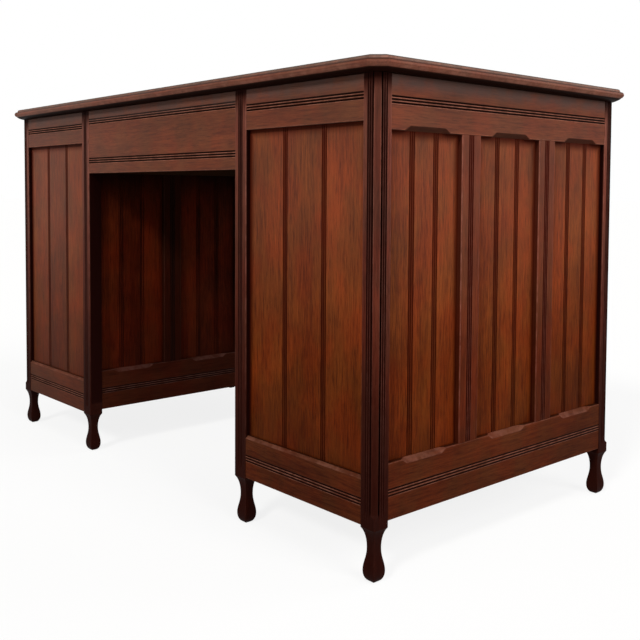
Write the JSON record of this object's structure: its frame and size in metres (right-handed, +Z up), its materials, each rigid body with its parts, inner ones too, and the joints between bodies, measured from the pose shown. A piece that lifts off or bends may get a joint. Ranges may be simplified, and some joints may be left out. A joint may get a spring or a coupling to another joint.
{
  "type": "writing desk",
  "caption": "Panelled kneehole writing desk: two pedestals of drawers on small shaped legs, reeded posts and rails, moulded top with canted corners and leather inset, brass drop handles",
  "frame": {"origin": "on the floor under the middle of the desk", "axes": "X along the desk to the sitter's right, Y from the sitter's side to the panelled back, Z up"},
  "size_m": [1.249, 0.662, 0.758],
  "materials": {
    "polished_frame_wood": "satin-polished reddish brown hardwood",
    "polished_board_wood": "satin-polished reddish brown hardwood, a little lighter",
    "polished_top_wood": "polished reddish brown hardwood, worn at the edge",
    "drawer_front_wood": "satin-polished reddish brown hardwood",
    "drawer_lining_wood": "unpolished pale wood",
    "inner_wood": "unpolished pale wood",
    "writing_leather": "dull green hide",
    "aged_brass": "aged brass"
  },
  "bodies": {
    "desk_carcass": {"centre_drawer_runners": "inner_wood", "desk_top": "polished_top_wood", "drawer_runners": "inner_wood", "kneehole_back_frieze": "polished_frame_wood", "kneehole_front_rails": "polished_frame_wood", "leather_writing_surface": "writing_leather", "left_back_boards": "polished_board_wood", "left_back_corner_post": "polished_frame_wood", "left_back_inner_post": "polished_frame_wood", "left_back_rails": "polished_frame_wood", "left_front_corner_post": "polished_frame_wood", "left_front_inner_post": "polished_frame_wood", "left_front_rails": "polished_frame_wood", "left_kneehole_boards": "polished_board_wood", "left_kneehole_frame": "polished_frame_wood", "left_side_boards": "polished_board_wood", "left_side_muntins": "polished_frame_wood", "left_side_rails": "polished_frame_wood", "right_back_boards": "polished_board_wood", "right_back_corner_post": "polished_frame_wood", "right_back_inner_post": "polished_frame_wood", "right_back_rails": "polished_frame_wood", "right_front_corner_post": "polished_frame_wood", "right_front_inner_post": "polished_frame_wood", "right_front_rails": "polished_frame_wood", "right_kneehole_boards": "polished_board_wood", "right_kneehole_frame": "polished_frame_wood", "right_side_boards": "polished_board_wood", "right_side_muntins": "polished_frame_wood", "right_side_rails": "polished_frame_wood", "top_glue_blocks": "inner_wood"},
    "left_top_drawer": {"left_top_drawer_front": "drawer_front_wood", "left_top_drawer_box": "drawer_lining_wood", "left_top_drawer_brass_fittings": "aged_brass"},
    "left_top_drawer_handle_bail": {"left_top_drawer_handle": "aged_brass"},
    "left_middle_drawer": {"left_middle_drawer_front": "drawer_front_wood", "left_middle_drawer_box": "drawer_lining_wood", "left_middle_drawer_brass_fittings": "aged_brass"},
    "left_middle_drawer_handle_bail": {"left_middle_drawer_handle": "aged_brass"},
    "left_bottom_drawer": {"left_bottom_drawer_front": "drawer_front_wood", "left_bottom_drawer_box": "drawer_lining_wood", "left_bottom_drawer_brass_fittings": "aged_brass"},
    "left_bottom_drawer_handle_bail": {"left_bottom_drawer_handle": "aged_brass"},
    "right_top_drawer": {"right_top_drawer_front": "drawer_front_wood", "right_top_drawer_box": "drawer_lining_wood", "right_top_drawer_brass_fittings": "aged_brass"},
    "right_top_drawer_handle_bail": {"right_top_drawer_handle": "aged_brass"},
    "right_middle_drawer": {"right_middle_drawer_front": "drawer_front_wood", "right_middle_drawer_box": "drawer_lining_wood", "right_middle_drawer_brass_fittings": "aged_brass"},
    "right_middle_drawer_handle_bail": {"right_middle_drawer_handle": "aged_brass"},
    "right_bottom_drawer": {"right_bottom_drawer_front": "drawer_front_wood", "right_bottom_drawer_box": "drawer_lining_wood", "right_bottom_drawer_brass_fittings": "aged_brass"},
    "right_bottom_drawer_handle_bail": {"right_bottom_drawer_handle": "aged_brass"},
    "centre_drawer": {"centre_drawer_front": "drawer_front_wood", "centre_drawer_box": "drawer_lining_wood", "centre_drawer_brass_fittings": "aged_brass"},
    "centre_drawer_handle_1_bail": {"centre_drawer_handle_1": "aged_brass"},
    "centre_drawer_handle_2_bail": {"centre_drawer_handle_2": "aged_brass"}
  },
  "joints": [
    {"name": "left_top_drawer_slide", "type": "slide", "parent": "desk_carcass", "child": "left_top_drawer", "axis": [0, -1, 0], "range_m": [0, 0.4]},
    {"name": "left_top_drawer_handle_pivot", "type": "hinge", "parent": "left_top_drawer", "child": "left_top_drawer_handle_bail", "pos_m": [-0.435, -0.3194, 0.6765], "axis": [-1, 0, 0], "range_deg": [-14, 150]},
    {"name": "left_middle_drawer_slide", "type": "slide", "parent": "desk_carcass", "child": "left_middle_drawer", "axis": [0, -1, 0], "range_m": [0, 0.4]},
    {"name": "left_middle_drawer_handle_pivot", "type": "hinge", "parent": "left_middle_drawer", "child": "left_middle_drawer_handle_bail", "pos_m": [-0.435, -0.3194, 0.50626], "axis": [-1, 0, 0], "range_deg": [-14, 150]},
    {"name": "left_bottom_drawer_slide", "type": "slide", "parent": "desk_carcass", "child": "left_bottom_drawer", "axis": [0, -1, 0], "range_m": [0, 0.4]},
    {"name": "left_bottom_drawer_handle_pivot", "type": "hinge", "parent": "left_bottom_drawer", "child": "left_bottom_drawer_handle_bail", "pos_m": [-0.435, -0.3194, 0.25476], "axis": [-1, 0, 0], "range_deg": [-14, 150]},
    {"name": "right_top_drawer_slide", "type": "slide", "parent": "desk_carcass", "child": "right_top_drawer", "axis": [0, -1, 0], "range_m": [0, 0.4]},
    {"name": "right_top_drawer_handle_pivot", "type": "hinge", "parent": "right_top_drawer", "child": "right_top_drawer_handle_bail", "pos_m": [0.435, -0.3194, 0.6765], "axis": [-1, 0, 0], "range_deg": [-14, 150]},
    {"name": "right_middle_drawer_slide", "type": "slide", "parent": "desk_carcass", "child": "right_middle_drawer", "axis": [0, -1, 0], "range_m": [0, 0.4]},
    {"name": "right_middle_drawer_handle_pivot", "type": "hinge", "parent": "right_middle_drawer", "child": "right_middle_drawer_handle_bail", "pos_m": [0.435, -0.3194, 0.50626], "axis": [-1, 0, 0], "range_deg": [-14, 150]},
    {"name": "right_bottom_drawer_slide", "type": "slide", "parent": "desk_carcass", "child": "right_bottom_drawer", "axis": [0, -1, 0], "range_m": [0, 0.4]},
    {"name": "right_bottom_drawer_handle_pivot", "type": "hinge", "parent": "right_bottom_drawer", "child": "right_bottom_drawer_handle_bail", "pos_m": [0.435, -0.3194, 0.25476], "axis": [-1, 0, 0], "range_deg": [-14, 150]},
    {"name": "centre_drawer_slide", "type": "slide", "parent": "desk_carcass", "child": "centre_drawer", "axis": [0, -1, 0], "range_m": [0, 0.4]},
    {"name": "centre_drawer_handle_1_pivot", "type": "hinge", "parent": "centre_drawer", "child": "centre_drawer_handle_1_bail", "pos_m": [-0.14, -0.3194, 0.6765], "axis": [-1, 0, 0], "range_deg": [-14, 150]},
    {"name": "centre_drawer_handle_2_pivot", "type": "hinge", "parent": "centre_drawer", "child": "centre_drawer_handle_2_bail", "pos_m": [0.14, -0.3194, 0.6765], "axis": [-1, 0, 0], "range_deg": [-14, 150]}
  ]
}
